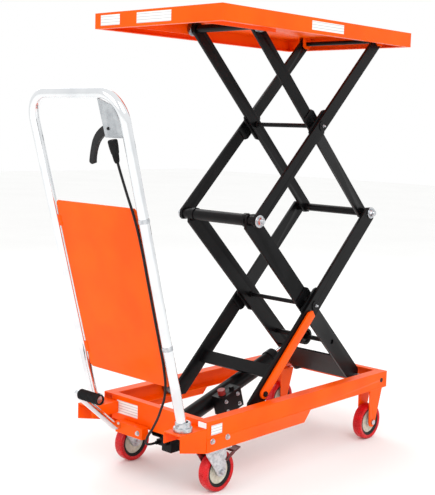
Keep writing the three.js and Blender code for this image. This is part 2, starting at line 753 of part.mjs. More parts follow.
// ---------- rollers ----------
function roller(radius, width, y0) {
  const bevel = 1.5;
  const bore = ROLLER_PIN_RADIUS + RUNNING_GAP;
  return turned([
    [bore, y0], [radius - bevel, y0], [radius, y0 + bevel], [radius, y0 + width - bevel],
    [radius - bevel, y0 + width], [bore, y0 + width],
  ], ROUND);
}

const footRollerY = halfChassis - CHASSIS_SHEET - 2 - ROLLER_WIDTH;
for (const [side, word] of SIDES) {
  const foot = roller(ROLLER_RADIUS, ROLLER_WIDTH, footRollerY).translate(-halfArm, 0, 0);
  add(lowerOuter, `${word}_foot_roller`, onSide(side, foot), rollerSteel);
  const top = roller(TOP_ROLLER_RADIUS, TOP_ROLLER_WIDTH, topRollerY).translate(-halfArm, 0, 0);
  add(upperInner, `${word}_top_roller`, onSide(side, top), rollerSteel);
}

// ---------- platform ----------
const table = group(machine);
const tableFront = TABLE_OVERHANG;
const tableRear = TABLE_OVERHANG - TABLE_LENGTH;
const tableHalf = TABLE_WIDTH / 2;
const tableLow = tableTop - TABLE_SKIRT;

// Lugs under the front of the platform, one on each face of an upper outer arm.
function hingeLugs() {
  const sheet = 4;
  const armGap = 3;
  const halfTop = 20;
  const halfTip = 9;
  const roof = tableUnderside + 1;
  const low = topZ - 17;
  const inner = OUTER_ARM_Y - ARM_THICKNESS / 2 - armGap;
  const outer = outerFace + armGap;
  const outline = [[-halfTop, roof], [-halfTop, topZ - halfTip], [-halfTip, low], [halfTip, low],
    [halfTop, topZ - halfTip], [halfTop, roof]];
  const hole = barY(THIN_SHAFT_RADIUS + RUNNING_GAP, inner - 20, outer + 20, 0, topZ);
  const lugs = [plateY(outline, inner - sheet, inner), plateY(outline, outer, outer + sheet)];
  return SIDES.flatMap(([side]) => lugs.map((lug) => onSide(side, cut(lug, hole))));
}

function tableTray() {
  const sheet = TABLE_SHEET;
  const whole = block(tableRear, tableFront, -tableHalf, tableHalf, tableLow, tableTop);
  const hollow = block(
    tableRear + sheet, tableFront - sheet, -tableHalf + sheet, tableHalf - sheet,
    tableLow + sheet, tableUnderside,
  );
  const opening = block(
    tableRear + TABLE_LIP, tableFront - TABLE_LIP, -tableHalf + TABLE_LIP, tableHalf - TABLE_LIP,
    tableLow - 10, tableLow + sheet + 1,
  );
  const legInner = topRollerY + TOP_ROLLER_WIDTH + 1;
  const channelRear = tableRear + 40;
  const channelFront = -SPAN + 60;
  const channels = SIDES.map(([side]) => onSide(side, block(
    channelRear, channelFront, legInner, legInner + TABLE_SHEET,
    tableLow + 4, tableUnderside + 1,
  )));
  return join(cut(whole, hollow, opening), ...channels, ...hingeLugs());
}

add(table, "table_tray", tableTray(), orangePaint);

// ---------- ram, in a frame that points from its foot to the ram pin ----------
const ram = group(machine, ramFootX, 0, RAM_FOOT_HEIGHT);
ram.rotation.y = -ramTilt;
const rodBore = RAM_ROD_RADIUS + RUNNING_GAP;

function ramBarrel() {
  const footRadius = 21;
  const eyeHole = RAM_PIN_RADIUS + RUNNING_GAP;
  const start = 14;
  const glandLength = 30;
  const endCap = 12;
  const whole = join(
    barY(footRadius, -RAM_RADIUS, RAM_RADIUS),
    barX(RAM_RADIUS, start, BARREL_LENGTH),
    barX(RAM_RADIUS + 4, BARREL_LENGTH - glandLength, BARREL_LENGTH),
  );
  const stroke = barX(rodBore, start + footRadius + endCap, BARREL_LENGTH + 10);
  return cut(whole, barY(eyeHole, -60, 60), stroke);
}

function ramRod() {
  const eyeInner = RAM_PIN_RADIUS + EYE_CLEARANCE;
  const eyeOuter = eyeInner + EYE_WALL;
  const rodStart = 150;
  const eyeHalf = 17;
  const rod = barX(RAM_ROD_RADIUS, rodStart, ramLength - eyeInner - EYE_WALL / 2);
  const eye = barY(eyeOuter, -eyeHalf, eyeHalf, ramLength);
  return cut(join(rod, eye), barY(eyeInner, -40, 40, ramLength));
}

// The valve block hangs on the right of the barrel, with its cap and ports on top.
function valveBlock() {
  const near = -RAM_RADIUS - GAP;
  const start = 140;
  const body = block(start, start + 84, near - 46, near, -34, 30);
  const cap = barZ(12, 29, 46, start + 22, near - 24);
  const port = barZ(8, 29, 40, start + 60, near - 30, 16);
  return join(body, cap, port);
}

add(ram, "ram_barrel", ramBarrel(), blackPaint);
add(ram, "ram_rod", ramRod(), chrome);
add(ram, "valve_block", valveBlock(), blackPaint);

// ---------- foot pump and pedal ----------
const pump = group(machine);
const pedalAxisX = railRear - 19;
const pedalAxisZ = 142;
const pedalTubeY = 114;
const pedalEndY = 6;
const pedalStartX = pedalAxisX - PEDAL_SOCKET_HALF - GAP;
const pedalStartZ = pedalAxisZ + 6;
const gripX = pedalStartX - PEDAL_REACH;
const gripZ = pedalStartZ + PEDAL_RISE;

function footPump() {
  const top = railTop - REAR_MEMBER_DROP - GAP;
  const near = -ramCheekY - 8;
  const body = block(railRear + 2, railRear + 66, near - 38, near, top - 48, top);
  const plunger = barX(9, railRear - 9, railRear + 3, near - 19, top - 20);
  const valve = barX(6, cableEndX + GAP, railRear + 40, 0, cableEndZ);
  const armTop = ramFloor - 2;
  const armDepth = 16;
  const arm = block(railRear + 24, railRear + 50, near - 1, 8, armTop - armDepth, armTop);
  return join(body, plunger, valve, arm);
}

function pedalSocket() {
  const half = PEDAL_SOCKET_HALF;
  const low = pedalAxisZ - 16;
  const high = pedalAxisZ + 18;
  const box = block(pedalAxisX - half, pedalAxisX + half, 12, 128, low, high);
  const hollow = block(pedalAxisX - half + 3, pedalAxisX + half - 3, 15, 125, low - 5, high - 3);
  return cut(box, hollow);
}

function pedalTube() {
  const straight = 14;
  const path = roundedPath([
    new THREE.Vector3(pedalStartX, pedalTubeY, pedalStartZ),
    new THREE.Vector3(pedalStartX - straight, pedalTubeY, pedalStartZ),
    new THREE.Vector3(gripX, pedalTubeY, gripZ),
    new THREE.Vector3(gripX, pedalEndY, gripZ),
  ], PEDAL_BEND);
  return sweep(path, PEDAL_RADIUS, 40, 5);
}

function pedalGrip() {
  const inner = PEDAL_RADIUS + GAP;
  const outer = inner + 4.2;
  const ring = turned([
    [inner, 3], [outer - 3, 3], [outer, 6], [outer, 84], [outer - 3, 88], [inner, 88],
  ], 20);
  return ring.translate(gripX, 0, gripZ);
}

add(pump, "foot_pump", footPump(), blackPaint);
add(pump, "pedal_socket", pedalSocket(), orangePaint);
add(pump, "pedal_tube", pedalTube(), chrome);
add(pump, "pedal_grip", pedalGrip(), blackPlastic);

// ---------- wheels and casters ----------
const running = group(machine);

function wheel(x, y) {
  const half = WHEEL_WIDTH / 2;
  const bore = WHEEL_AXLE_RADIUS + RUNNING_GAP;
  const hub = 17;
  const rim = WHEEL_RADIUS - 15;
  const web = 6;
  const round = 3;
  return turned([
    [bore, -half], [hub, -half], [hub, -web], [rim, -web], [rim + round, -half + 1],
    [WHEEL_RADIUS, -half + 4],
    [WHEEL_RADIUS, half - 4], [rim + round, half - 1], [rim, web], [hub, web], [hub, half], [bore, half],
  ], 24).translate(x, y, WHEEL_RADIUS);
}

const forkTop = DECK_HEIGHT - GAP - CASTER_PLATE[2] - 1;

function casterPlate() {
  const [length, width, sheet] = CASTER_PLATE;
  const top = DECK_HEIGHT - GAP;
  return block(
    casterX - length / 2, casterX + length / 2, casterY - width / 2, casterY + width / 2, top - sheet, top,
  );
}

// The swivel fork: a round head under the plate and two cheeks that reach back to the axle.
function casterFork() {
  const headRadius = 30;
  const head = 5;
  const cheekY = WHEEL_WIDTH / 2 + WHEEL_SIDE_GAP;
  const outline = [
    [-38, forkTop - 2], [-38, forkTop - 10], [CASTER_TRAIL - 14, WHEEL_RADIUS - 10],
    [CASTER_TRAIL + 4, WHEEL_RADIUS - 14], [CASTER_TRAIL + 15, WHEEL_RADIUS],
    [CASTER_TRAIL + 18, forkTop - 20],
    [40, forkTop - 2],
  ];
  const axleReach = cheekY + FORK_SHEET;
  const pieces = [
    barZ(headRadius, forkTop - head, forkTop, 0, 0, 32),
    block(-38, 40, -cheekY - 1, cheekY + 1, forkTop - head, forkTop - 1),
    barY(WHEEL_AXLE_RADIUS, -axleReach - 8, axleReach + 8, CASTER_TRAIL, WHEEL_RADIUS),
    barY(9, axleReach - 1, axleReach + 6, CASTER_TRAIL, WHEEL_RADIUS, 6),
    barY(9, -axleReach - 6, -axleReach + 1, CASTER_TRAIL, WHEEL_RADIUS, 6),
    plateY(outline, cheekY, cheekY + FORK_SHEET),
    plateY(outline, -cheekY - FORK_SHEET, -cheekY),
  ];
  return join(...pieces).translate(casterX, casterY, 0);
}

// The brake pedal straddles the fork outside its cheeks and presses on the tread.
const brakeX = CASTER_TRAIL + 40;
const brakeZ = forkTop - 26;

function brakePedal() {
  const inner = WHEEL_WIDTH / 2 + WHEEL_SIDE_GAP + FORK_SHEET + GAP + RUNNING_GAP;
  const sheet = 2.5;
  const half = inner + sheet;
  const outline = [[-28, -12], [-22, -16], [10, 2], [14, 8], [-6, 6]];
  const tread = [[8, 2], [34, 12], [33, 15], [10, 8]];
  return join(
    plateY(outline, inner, half),
    plateY(outline, -half, -inner),
    plateY(tread, -half, half),
  ).translate(casterX + brakeX, casterY, brakeZ);
}

for (const [side, word] of SIDES) {
  add(running, `${word}_front_wheel`, onSide(side, wheel(frontAxleX, frontWheelY)), redTread);
  add(running, `${word}_rear_wheel`, onSide(side, wheel(rearAxleX, casterY)), redTread);
  add(running, `${word}_caster_plate`, onSide(side, casterPlate()), zinc);
  add(running, `${word}_caster_fork`, onSide(side, casterFork()), zinc);
  add(running, `${word}_brake_pedal`, onSide(side, brakePedal()), redTread);
}

export default machine;
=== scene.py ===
"""Looks for a double scissor lift table on a hand trolley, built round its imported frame.

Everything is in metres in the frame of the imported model: +Z up, +X to the front, left is +Y.
"""

import json
import logging
import math
from dataclasses import dataclass, field
from enum import Enum
from typing import Callable, Iterable, Optional, Sequence

import bmesh
import bpy
from mathutils import Matrix, Vector

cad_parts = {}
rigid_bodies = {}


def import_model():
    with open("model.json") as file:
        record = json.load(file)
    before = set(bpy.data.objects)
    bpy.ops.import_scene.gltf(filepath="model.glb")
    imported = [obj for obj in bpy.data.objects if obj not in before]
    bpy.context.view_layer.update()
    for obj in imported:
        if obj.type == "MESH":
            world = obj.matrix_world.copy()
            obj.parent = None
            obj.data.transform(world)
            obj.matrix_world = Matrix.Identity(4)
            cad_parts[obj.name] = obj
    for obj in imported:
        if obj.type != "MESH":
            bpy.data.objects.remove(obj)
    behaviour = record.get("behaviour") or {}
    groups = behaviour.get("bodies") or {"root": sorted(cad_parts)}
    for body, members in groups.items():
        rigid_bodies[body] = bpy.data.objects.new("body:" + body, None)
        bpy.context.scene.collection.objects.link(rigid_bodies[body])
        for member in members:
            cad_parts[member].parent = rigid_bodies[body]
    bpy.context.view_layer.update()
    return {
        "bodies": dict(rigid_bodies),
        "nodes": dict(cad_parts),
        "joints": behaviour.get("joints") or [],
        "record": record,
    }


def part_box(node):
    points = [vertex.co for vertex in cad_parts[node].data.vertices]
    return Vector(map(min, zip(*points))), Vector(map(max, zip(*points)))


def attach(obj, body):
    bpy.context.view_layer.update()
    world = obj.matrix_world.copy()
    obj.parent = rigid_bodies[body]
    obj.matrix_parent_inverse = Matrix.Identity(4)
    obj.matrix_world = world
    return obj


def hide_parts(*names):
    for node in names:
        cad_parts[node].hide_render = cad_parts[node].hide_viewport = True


LOG = logging.getLogger("lift_table")
MM = 0.001
SHARP_ANGLE = math.radians(25)
BEVEL_ANGLE = math.radians(40)
ROUND_STEPS = 48
STICKER_PROUD = 0.0006
STICKER_SUNK = 0.0002
STICKER_ROUND_MM = 0.15


class Side(Enum):
    """The two sides of the machine, with the sign of y."""

    LEFT = ("left", 1.0)
    RIGHT = ("right", -1.0)

    @property
    def word(self) -> str:
        """The word that starts a piece's name."""
        return self.value[0]

    @property
    def sign(self) -> float:
        """The sign of y on this side."""
        return self.value[1]


class Slot(Enum):
    """The record's material slots."""

    ORANGE = "orange_paint"
    BLACK = "black_paint"
    CHROME = "chrome"
    ZINC = "zinc"
    GREY = "grey_steel"
    PLASTIC = "black_plastic"
    TREAD = "red_tread"
    ROLLER = "roller_steel"
    RUBBER = "pedal_rubber"


# ---------- finishes ----------
def linear(hex_colour: str) -> tuple[float, float, float, float]:
    """Turns an sRGB hex colour into linear light.

    Args:
        hex_colour: six hex digits, such as "FB5A14".

    Returns:
        The colour as red, green, blue and alpha, linear.
    """
    shares = [int(hex_colour[i : i + 2], 16) / 255 for i in (0, 2, 4)]
    light = [s / 12.92 if s <= 0.04045 else ((s + 0.055) / 1.055) ** 2.4 for s in shares]
    return (light[0], light[1], light[2], 1.0)


def add_node(tree: bpy.types.NodeTree, kind: str, links: Optional[dict] = None, **settings) -> bpy.types.Node:
    """Adds a node with its settings and links.

    Args:
        tree: the material's node tree.
        kind: the node's type name.
        links: input name or number to the output socket that feeds it.
        **settings: node properties, or input values where the name is not a property.

    Returns:
        The new node.
    """
    node = tree.nodes.new(kind)
    for name, value in settings.items():
        if hasattr(node, name):
            setattr(node, name, value)
        else:
            node.inputs[name.replace("_", " ")].default_value = value
    for name, socket in (links or {}).items():
        tree.links.new(socket, node.inputs[name])
    return node


@dataclass(frozen=True)
class Finish:
    """A paint, plating or moulded surface with slow patches and a fine grain."""

    name: str
    colour: str
    shade: str
    roughness: float
    metallic: float = 0.0
    ior: float = 1.5
    coat: float = 0.0
    specular: float = 0.5
    patch_mm: float = 60.0
    grain_mm: float = 2.0
    grain_depth_mm: float = 0.02
    roughness_swing: float = 0.06
    stretch: tuple[float, float, float] = (1.0, 1.0, 1.0)

    def colours(self, tree: bpy.types.NodeTree, place: bpy.types.NodeSocket) -> bpy.types.NodeSocket:
        """Mixes the colour and its shade in slow patches.

        Args:
            tree: the material's node tree.
            place: the socket that gives the place on the piece.

        Returns:
            The colour socket.
        """
        patches = add_node(
            tree, "ShaderNodeTexNoise", {"Vector": place}, Scale=1 / (self.patch_mm * MM), Detail=3.0,
        )
        ramp = add_node(tree, "ShaderNodeValToRGB", {"Fac": patches.outputs["Fac"]})
        ramp.color_ramp.elements[0].position = 0.32
        ramp.color_ramp.elements[0].color = linear(self.shade)
        ramp.color_ramp.elements[1].position = 0.62
        ramp.color_ramp.elements[1].color = linear(self.colour)
        return ramp.outputs["Color"]

    def build(self) -> bpy.types.Material:
        """Builds the material once.

        Returns:
            The material, made now or earlier.
        """
        made = bpy.data.materials.get(self.name)
        if made is not None:
            return made
        made = bpy.data.materials.new(self.name)
        made.use_nodes = True
        tree = made.node_tree
        tree.nodes.clear()
        coordinates = add_node(tree, "ShaderNodeTexCoord")
        placed = add_node(tree, "ShaderNodeMapping", {"Vector": coordinates.outputs["Object"]})
        placed.inputs["Scale"].default_value = self.stretch
        place = placed.outputs["Vector"]
        grain = add_node(
            tree, "ShaderNodeTexNoise", {"Vector": place}, Scale=1 / (self.grain_mm * MM), Detail=2.0,
        )
        rough = add_node(
            tree, "ShaderNodeMapRange", {"Value": grain.outputs["Fac"]},
            To_Min=self.roughness - self.roughness_swing, To_Max=self.roughness + self.roughness_swing,
        )
        bump = add_node(
            tree, "ShaderNodeBump", {"Height": grain.outputs["Fac"]},
            Strength=1.0, Distance=self.grain_depth_mm * MM,
        )
        shader = add_node(
            tree, "ShaderNodeBsdfPrincipled",
            {
                "Base Color": self.colours(tree, place),
                "Roughness": rough.outputs["Result"],
                "Normal": bump.outputs["Normal"],
            },
            Metallic=self.metallic, IOR=self.ior, Specular_IOR_Level=self.specular, Coat_Weight=self.coat,
            Coat_Roughness=0.12,
        )
        add_node(tree, "ShaderNodeOutputMaterial", {"Surface": shader.outputs["BSDF"]})
        made.diffuse_color = linear(self.colour)
        return made


@dataclass(frozen=True)
class BandedLabel(Finish):
    """A printed sticker with nothing on it but soft grey bands, so that no wording shows."""

    band: str = "C4C5C6"
    band_mm: float = 4.0

    def colours(self, tree: bpy.types.NodeTree, place: bpy.types.NodeSocket) -> bpy.types.NodeSocket:
        """Lays level grey bands over the paper.

        Args:
            tree: the material's node tree.
            place: the socket that gives the place on the piece.

        Returns:
            The colour socket.
        """
        bands = add_node(
            tree, "ShaderNodeTexWave", {"Vector": place}, bands_direction="Z",
            Scale=1 / (self.band_mm * MM * 20 / math.pi), Distortion=0.0,
        )
        ramp = add_node(tree, "ShaderNodeValToRGB", {"Fac": bands.outputs["Fac"]})
        ramp.color_ramp.elements[0].position = 0.70
        ramp.color_ramp.elements[0].color = linear(self.colour)
        ramp.color_ramp.elements[1].position = 0.86
        ramp.color_ramp.elements[1].color = linear(self.band)
        return ramp.outputs["Color"]


# Polyester powder coat, sprayed and baked: an even colour with a faint orange-peel gloss.
POWDER_COAT = Finish(
    "orange_powder_coat", "FF5C00", "F45200", 0.34,
    specular=0.12, patch_mm=140, grain_mm=2.4,
)
# Black stoving enamel on flat bar: nearly black, with broad soft highlights and thin dust.
STOVE_ENAMEL = Finish(
    "black_stove_enamel", "09090A", "101012", 0.33,
    specular=0.14, patch_mm=45, grain_mm=2.8,
)
# Bright chrome plate on bent tube: mirror-like, with only a breath of haze.
CHROME_PLATE = Finish(
    "bright_chrome_plate", "E8EAEC", "DADDE0", 0.07, metallic=1.0, patch_mm=80, grain_mm=9,
    grain_depth_mm=0.002, roughness_swing=0.02,
)
# Bright zinc plate on pressed steel: pale silver clouded by its passivation.
ZINC_PLATE = Finish(
    "bright_zinc_plate", "D0D3D6", "A9ADB2", 0.30, metallic=1.0, patch_mm=9, grain_mm=1.6,
    grain_depth_mm=0.012, roughness_swing=0.09,
)
# Silver hammered paint on the lever bracket.
SILVER_PAINT = Finish("silver_paint", "B4B8BB", "9FA3A7", 0.42, metallic=0.5, patch_mm=20, grain_mm=1.8)
# Moulded nylon: deep black with a fine spark-eroded grain, drawn coarser than the real 0.3 mm.
MOULDED_NYLON = Finish(
    "moulded_black_nylon", "0D0D0F", "151517", 0.5,
    specular=0.25, patch_mm=18, grain_mm=1.1, grain_depth_mm=0.04,
)
# Nitrile rubber grip: matt, soft black with a dusty bloom.
GRIP_RUBBER = Finish(
    "nitrile_rubber", "0F0F10", "1A1A1B", 0.78,
    specular=0.2, patch_mm=12, grain_mm=1.4, grain_depth_mm=0.05,
)
# Cast polyurethane tread: glassy red, a little uneven where it was poured.
CAST_TREAD = Finish(
    "cast_polyurethane", "D01018", "B20A12", 0.28,
    ior=1.49, specular=0.3, patch_mm=22, grain_mm=3.5,
)
# Cast hub under pale enamel.
PALE_HUB = Finish(
    "pale_enamelled_hub", "D9D4C4", "C2BCAA", 0.45,
    patch_mm=10, grain_mm=1.5, grain_depth_mm=0.03,
)
# Dark red enamel on the brake treads.
DARK_RED_ENAMEL = Finish("dark_red_enamel", "5E1512", "47100E", 0.4, patch_mm=16, grain_mm=2.0)
# Turned steel rollers: the tool leaves fine rings that catch the light.
TURNED_STEEL = Finish(
    "turned_steel", "8E9195", "63666A", 0.34, metallic=1.0, patch_mm=5, grain_mm=0.9,
    grain_depth_mm=0.015, roughness_swing=0.1,
)
# Coated paper sticker under clear film.
LABEL_PAPER = BandedLabel(
    "banded_label", "EDEDEA", "DCDCD8", 0.35,
    coat=0.3, grain_mm=3, grain_depth_mm=0.005,
)
# Signal red cap on the valve.
RED_CAP = Finish("red_valve_cap", "8E1A17", "741310", 0.4, patch_mm=8, grain_mm=1.2)
# Pale floor paint, even and matt.
FLOOR_PAINT = Finish(
    "pale_floor", "FCFCFB", "FAFAF9", 0.9,
    specular=0.1, patch_mm=900, grain_mm=40, grain_depth_mm=0.01,
)

FINISH_OF_SLOT = {
    Slot.ORANGE: POWDER_COAT, Slot.BLACK: STOVE_ENAMEL, Slot.CHROME: CHROME_PLATE, Slot.ZINC: ZINC_PLATE,
    Slot.GREY: SILVER_PAINT, Slot.PLASTIC: MOULDED_NYLON, Slot.TREAD: CAST_TREAD, Slot.ROLLER: TURNED_STEEL,
    Slot.RUBBER: GRIP_RUBBER,
}


# ---------- shape tools ----------
def centre(node: str) -> Vector:
    """The middle of a CAD node's box."""
    low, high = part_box(node)
    return (low + high) / 2


def turn_to(axis: Vector) -> Matrix:
    """A turn that takes +Z to an axis."""
    return axis.to_track_quat("Z", "Y").to_matrix().to_4x4()


def place(
    name: str,
    bm: bmesh.types.BMesh,
    finishes: Sequence[Finish],
    body: str,
    slot: Slot,
    stands_for: Iterable[str] = (),
) -> bpy.types.Object:
    """Makes a finished piece from a bmesh and rides it on its body.

    Args:
        name: the piece's name.
        bm: the shape, in the row frame, which is freed.
        finishes: the finishes by material number.
        body: the CAD body that it moves with.
        slot: the record's slot; not used.
        stands_for: CAD nodes that it replaces.

    Returns:
        The piece.
    """
    mesh = bpy.data.meshes.new(name)
    bm.to_mesh(mesh)
    bm.free()
    mesh.shade_smooth()
    mesh.set_sharp_from_angle(angle=SHARP_ANGLE)
    piece = bpy.data.objects.new(name, mesh)
    bpy.context.scene.collection.objects.link(piece)
    for finish in finishes:
        mesh.materials.append(finish.build())
    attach(piece, body)
    nodes = list(stands_for)
    if nodes:
        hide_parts(*nodes)
    LOG.info("%s: %d faces on %s", name, len(mesh.polygons), body)
    return piece


def spin_profile(
    bm: bmesh.types.BMesh, profile: Sequence[tuple[float, float]], at: Vector, axis: Vector,
    steps: int = ROUND_STEPS, material: int = 0,
) -> None:
    """Turns a closed outline of (radius, along) in millimetres round an axis.

    Args:
        bm: the bmesh that receives the shape.
        profile: the outline's corners.
        at: the place of the profile's origin.
        axis: the direction of along.
        steps: facets round the turn.
        material: material number of the faces.
    """
    turned = bmesh.new()
    corners = [turned.verts.new((r * MM, 0, a * MM)) for r, a in profile]
    edges = [turned.edges.new((corners[i - 1], corners[i])) for i in range(len(corners))]
    bmesh.ops.spin(
        turned, geom=corners + edges, cent=(0, 0, 0), axis=(0, 0, 1), angle=2 * math.pi, steps=steps,
        use_merge=True,
    )
    bmesh.ops.remove_doubles(turned, verts=turned.verts, dist=1e-6)
    bmesh.ops.recalc_face_normals(turned, faces=turned.faces)
    bmesh.ops.transform(turned, matrix=Matrix.Translation(at) @ turn_to(axis), verts=turned.verts)
    merge_into(bm, turned, material)


def merge_into(bm: bmesh.types.BMesh, part: bmesh.types.BMesh, material: int = 0) -> None:
    """Adds one bmesh to another and frees it.

    Args:
        bm: the bmesh that receives the part.
        part: the part, which is freed.
        material: material number of its faces.
    """
    for face in part.faces:
        face.material_index = material
    carrier = bpy.data.meshes.new("carrier")
    part.to_mesh(carrier)
    part.free()
    bm.from_mesh(carrier)
    bpy.data.meshes.remove(carrier)


def add_box(
    bm: bmesh.types.BMesh, low: Sequence[float], high: Sequence[float], round_mm: float = 0.6,
    turn: Optional[Matrix] = None, material: int = 0,
) -> None:
    """Adds a box with rounded edges, its corners in metres.

    Args:
        bm: the bmesh that receives it.
        low: its lowest corner.
        high: its highest corner.
        round_mm: edge rounding.
        turn: a matrix applied last.
        material: material number of its faces.
    """
    part = bmesh.new()
    bmesh.ops.create_cube(part, size=1.0)
    size = Vector(high) - Vector(low)
    middle = (Vector(high) + Vector(low)) / 2
    bmesh.ops.scale(part, vec=size, verts=part.verts)
    bmesh.ops.translate(part, vec=middle, verts=part.verts)
    bmesh.ops.bevel(
        part, geom=list(part.edges), offset=round_mm * MM, segments=2, profile=0.5, affect="EDGES",
        material=-1,
    )
    if turn is not None:
        bmesh.ops.transform(part, matrix=turn, verts=part.verts)
    merge_into(bm, part, material)


def add_hex(
    bm: bmesh.types.BMesh, at: Vector, axis: Vector, across_mm: float, height_mm: float, material: int = 0,
) -> None:
    """Adds a bolt: a washer, a six-sided head with a chamfered top, and the end of its thread.

    Args:
        bm: the bmesh that receives it.
        at: where the washer sits.
        axis: outwards.
        across_mm: head size across its corners.
        height_mm: head height.
        material: material number of its faces.
    """
    washer = across_mm * 0.66
    disc = [(0.5, 0), (washer, 0), (washer, 1.0), (washer - 0.5, 1.5), (0.5, 1.5)]
    spin_profile(bm, disc, at, axis, 24, material)
    head = bmesh.new()
    bmesh.ops.create_cone(
        head, cap_ends=True, segments=6, radius1=across_mm / 2 * MM, radius2=across_mm / 2 * MM,
        depth=height_mm * MM,
    )
    bmesh.ops.translate(head, vec=(0, 0, (1.5 + height_mm / 2) * MM), verts=head.verts)
    bmesh.ops.bevel(
        head, geom=list(head.edges), offset=0.7 * MM, segments=2, profile=0.5, affect="EDGES", material=-1,
    )
    bmesh.ops.transform(head, matrix=Matrix.Translation(at) @ turn_to(axis), verts=head.verts)
    merge_into(bm, head, material)
    core = across_mm * 0.24
    top = 1.5 + height_mm
    spin_profile(
        bm, [(0.2, top - 1), (core, top - 1), (core, top + 1.2), (core - 0.7, top + 2), (0.2, top + 2)],
        at, axis, 16, material,
    )


def add_nipple(bm: bmesh.types.BMesh, at: Vector, axis: Vector, material: int = 0) -> None:
    """Adds a grease nipple: a hexagon foot, a waist and a ball end.

    Args:
        bm: the bmesh that receives it.
        at: where it sits.
        axis: outwards.
        material: material number of its faces.
    """
    outline = [
        (0.3, 0), (4.2, 0), (4.2, 3), (2.4, 3.6), (2.2, 5.6), (3.2, 7), (3.2, 8.4), (2.0, 9.8), (0.3, 10),
    ]
    spin_profile(bm, outline, at, axis, 16, material)


def bent_tube(points: Sequence[Vector], bend: float, radius: float, facets: int = 32) -> bmesh.types.BMesh:
    """Bends a tube: a ring of metal is drawn straight, then turned round each corner.

    Args:
        points: the corners of its line, in metres.
        bend: bend radius.
        radius: tube radius.
        facets: facets round the tube.

    Returns:
        The tube, closed at both ends.
    """
    bm = bmesh.new()
    first = (points[1] - points[0]).normalized()
    made = bmesh.ops.create_circle(bm, cap_ends=True, segments=facets, radius=radius)
    bmesh.ops.transform(bm, matrix=Matrix.Translation(points[0]) @ turn_to(first), verts=made["verts"])
    ring = [e for e in bm.edges]
    here = points[0].copy()
    for i in range(1, len(points)):
        ahead = (points[i] - points[i - 1]).normalized()
        last = i == len(points) - 1
        onward = ahead if last else (points[i + 1] - points[i]).normalized()
        turning = 0.0 if last else ahead.angle(onward)
        stop = points[i] - ahead * (bend * math.tan(turning / 2))
        drawn = bmesh.ops.extrude_edge_only(bm, edges=ring)["geom"]
        moved = [v for v in drawn if isinstance(v, bmesh.types.BMVert)]
        ring = [e for e in drawn if isinstance(e, bmesh.types.BMEdge) and all(v in moved for v in e.verts)]
        bmesh.ops.translate(bm, vec=stop - here, verts=moved)
        here = stop
        if last:
            break
        axis = ahead.cross(onward).normalized()
        hub = stop + axis.cross(ahead) * bend
        spun = bmesh.ops.spin(
            bm, geom=ring, cent=hub, axis=axis, angle=turning, steps=max(4, int(math.degrees(turning) / 6)),
            use_merge=False,
        )
        ring = [e for e in spun["geom_last"] if isinstance(e, bmesh.types.BMEdge)]
        here = hub + Matrix.Rotation(turning, 3, axis) @ (stop - hub)
    bmesh.ops.holes_fill(bm, edges=ring, sides=0)
    bmesh.ops.remove_doubles(bm, verts=bm.verts, dist=1e-6)
    bmesh.ops.recalc_face_normals(bm, faces=bm.faces)
    return bm


@dataclass
class Skin:
    """A CAD node's own shape with its cut edges broken and its finish put on."""

    frame: dict
    node: str
    body: str
    slot: Slot
    finish: Optional[Finish] = None
    edge_mm: float = 0.7
    zone: Optional[Callable[[Vector], bool]] = None
    zone_finish: Optional[Finish] = None

    def build(self) -> bpy.types.Object:
        """Copies the node, merges it, breaks its edges and replaces it.

        Returns:
            The piece.
        """
        source = self.frame["nodes"][self.node].data
        bm = self.merged(source)
        whole = bm.calc_volume(signed=True)
        sharp = [e for e in bm.edges if len(e.link_faces) == 2 and e.calc_face_angle(0.0) > BEVEL_ANGLE]
        bmesh.ops.bevel(
            bm, geom=sharp, offset=self.edge_mm * MM, offset_type="OFFSET", segments=2, profile=0.5,
            affect="EDGES", clamp_overlap=True, material=-1,
        )
        kept = bm.calc_volume(signed=True) / whole
        if not 0.9 < kept < 1.005:
            LOG.warning("%s keeps its square edges: rounding them kept %.3f of it", self.node, kept)
            bm.free()
            bm = self.merged(source)
        for face in bm.faces:
            face.material_index = int(self.zone is not None and self.zone(face.calc_center_median()))
        finishes = [self.finish or FINISH_OF_SLOT[self.slot]]
        if self.zone_finish is not None:
            finishes.append(self.zone_finish)
        return place(f"{self.node}_finished", bm, finishes, self.body, self.slot, [self.node])

    @staticmethod
    def merged(source: bpy.types.Mesh) -> bmesh.types.BMesh:
        """A merged copy of a CAD mesh whose flat faces are whole.

        Args:
            source: the CAD node's mesh.

        Returns:
            The copy.
        """
        bm = bmesh.new()
        bm.from_mesh(source)
        bmesh.ops.remove_doubles(bm, verts=bm.verts, dist=2e-6)
        bmesh.ops.dissolve_limit(bm, angle_limit=math.radians(0.5), verts=bm.verts, edges=bm.edges)
        return bm


